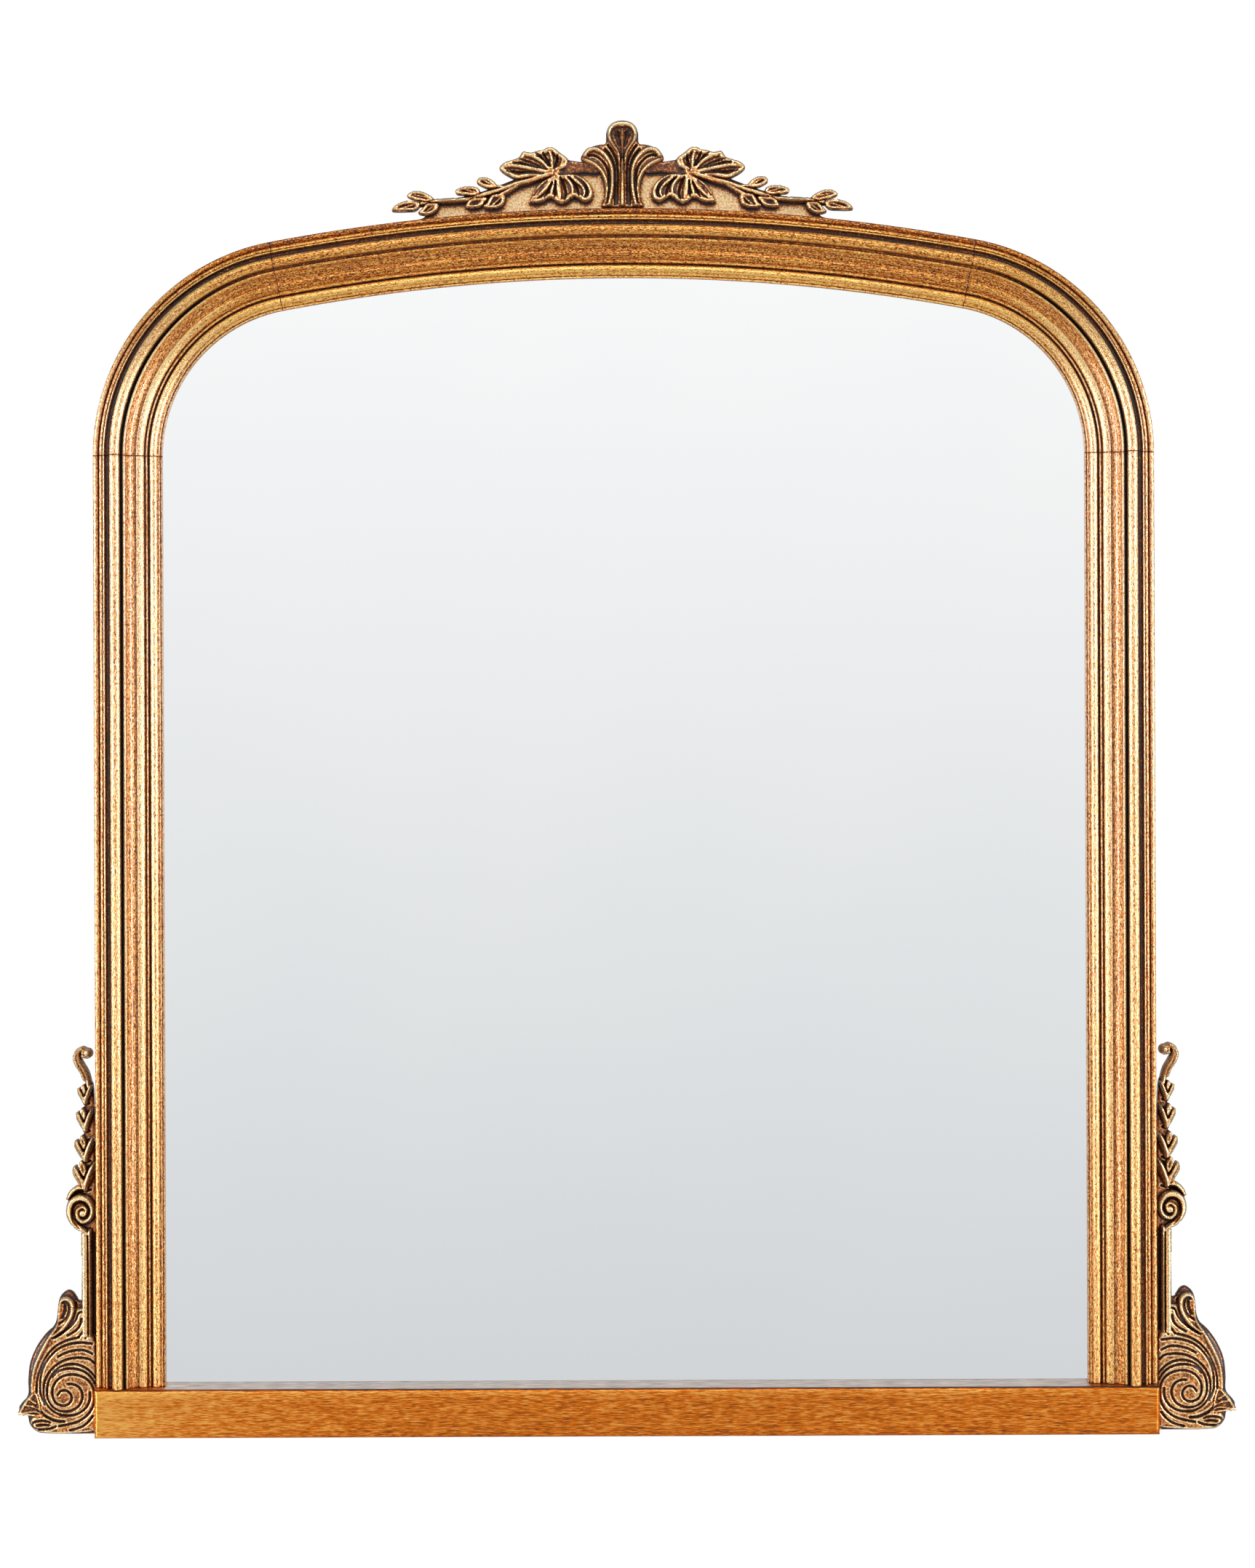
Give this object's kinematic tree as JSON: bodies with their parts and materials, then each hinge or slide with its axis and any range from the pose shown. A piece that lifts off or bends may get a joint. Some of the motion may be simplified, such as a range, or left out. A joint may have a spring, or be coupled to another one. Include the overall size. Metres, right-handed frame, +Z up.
{
  "type": "wall mirror",
  "caption": "Arched wall mirror in a stepped gilt moulding, with a plain bottom rail, a carved leaf crest and a carved scroll with a husk drop on each side.",
  "frame": {"origin": "on the wall plane, midway between the two points where the hanger rings sit on their hooks", "axes": "+Z up, +X to the viewer's right, -Y out of the wall towards the viewer"},
  "size_m": [0.8994, 0.0348, 0.9691],
  "materials": {
    "gilt_moulding": "antique gold leaf over red bole, rubbed, with dark wax in the grooves",
    "gilt_rail": "brushed antique gold, satin",
    "gilt_carving": "antique gold leaf, bright on the ridges and dark brown in the hollows",
    "dowel_wood": "bare beech",
    "zinc_plated_steel": "zinc plated",
    "button_steel": "zinc plated",
    "screw_steel": "yellow passivated",
    "mirror": "silvered glass, clear",
    "backing_board": "brown hardboard, smooth side out",
    "felt": "dense felt"
  },
  "bodies": {
    "frame": {"left_stile": "gilt_moulding", "right_stile": "gilt_moulding", "left_corner_arch": "gilt_moulding", "right_corner_arch": "gilt_moulding", "crown_arch": "gilt_moulding", "bottom_rail": "gilt_rail", "crest_ground": "gilt_carving", "crest_palmette": "gilt_carving", "left_crest_spray": "gilt_carving", "right_crest_spray": "gilt_carving", "left_scroll": "gilt_carving", "right_scroll": "gilt_carving", "left_husk_drop": "gilt_carving", "right_husk_drop": "gilt_carving", "left_foot_dowels": "dowel_wood", "right_foot_dowels": "dowel_wood", "left_spring_dowels": "dowel_wood", "right_spring_dowels": "dowel_wood", "left_crown_dowels": "dowel_wood", "right_crown_dowels": "dowel_wood", "left_crest_plate": "zinc_plated_steel", "right_crest_plate": "zinc_plated_steel", "left_scroll_plate": "zinc_plated_steel", "right_scroll_plate": "zinc_plated_steel", "plate_screws": "screw_steel", "mirror_glass": "mirror", "backing_board": "backing_board", "turn_button_screws": "screw_steel", "left_hanger_strap": "zinc_plated_steel", "right_hanger_strap": "zinc_plated_steel", "hanger_screws": "screw_steel", "left_wall_bumper": "felt", "right_wall_bumper": "felt"},
    "left_lower_turn_button": {"left_lower_turn_button": "button_steel"},
    "left_upper_turn_button": {"left_upper_turn_button": "button_steel"},
    "left_corner_turn_button": {"left_corner_turn_button": "button_steel"},
    "crown_turn_button": {"crown_turn_button": "button_steel"},
    "right_corner_turn_button": {"right_corner_turn_button": "button_steel"},
    "right_upper_turn_button": {"right_upper_turn_button": "button_steel"},
    "right_lower_turn_button": {"right_lower_turn_button": "button_steel"},
    "rail_right_turn_button": {"rail_right_turn_button": "button_steel"},
    "rail_middle_turn_button": {"rail_middle_turn_button": "button_steel"},
    "rail_left_turn_button": {"rail_left_turn_button": "button_steel"},
    "left_hanger_ring": {"left_hanger_ring": "zinc_plated_steel"},
    "right_hanger_ring": {"right_hanger_ring": "zinc_plated_steel"}
  },
  "joints": [
    {"name": "left_lower_button_turn", "type": "hinge", "parent": "frame", "child": "left_lower_turn_button", "pos_m": [-0.36, -0.007, -0.405], "axis": [0, 1, 0], "continuous": true},
    {"name": "left_upper_button_turn", "type": "hinge", "parent": "frame", "child": "left_upper_turn_button", "pos_m": [-0.36, -0.007, -0.17], "axis": [0, 1, 0], "continuous": true},
    {"name": "left_corner_button_turn", "type": "hinge", "parent": "frame", "child": "left_corner_turn_button", "pos_m": [-0.32222, -0.007, 0.17372], "axis": [0, 1, 0], "continuous": true},
    {"name": "crown_button_turn", "type": "hinge", "parent": "frame", "child": "crown_turn_button", "pos_m": [0, -0.007, 0.23286], "axis": [0, 1, 0], "continuous": true},
    {"name": "right_corner_button_turn", "type": "hinge", "parent": "frame", "child": "right_corner_turn_button", "pos_m": [0.32222, -0.007, 0.17372], "axis": [0, 1, 0], "continuous": true},
    {"name": "right_upper_button_turn", "type": "hinge", "parent": "frame", "child": "right_upper_turn_button", "pos_m": [0.36, -0.007, -0.17], "axis": [0, 1, 0], "continuous": true},
    {"name": "right_lower_button_turn", "type": "hinge", "parent": "frame", "child": "right_lower_turn_button", "pos_m": [0.36, -0.007, -0.405], "axis": [0, 1, 0], "continuous": true},
    {"name": "rail_right_button_turn", "type": "hinge", "parent": "frame", "child": "rail_right_turn_button", "pos_m": [0.23, -0.007, -0.626], "axis": [0, 1, 0], "continuous": true},
    {"name": "rail_middle_button_turn", "type": "hinge", "parent": "frame", "child": "rail_middle_turn_button", "pos_m": [0, -0.007, -0.626], "axis": [0, 1, 0], "continuous": true},
    {"name": "rail_left_button_turn", "type": "hinge", "parent": "frame", "child": "rail_left_turn_button", "pos_m": [-0.23, -0.007, -0.626], "axis": [0, 1, 0], "continuous": true},
    {"name": "left_ring_swing", "type": "hinge", "parent": "frame", "child": "left_hanger_ring", "pos_m": [-0.37, -0.005, -0.0095], "axis": [-1, 0, 0], "range_deg": [0, 165]},
    {"name": "right_ring_swing", "type": "hinge", "parent": "frame", "child": "right_hanger_ring", "pos_m": [0.37, -0.005, -0.0095], "axis": [-1, 0, 0], "range_deg": [0, 165]}
  ]
}
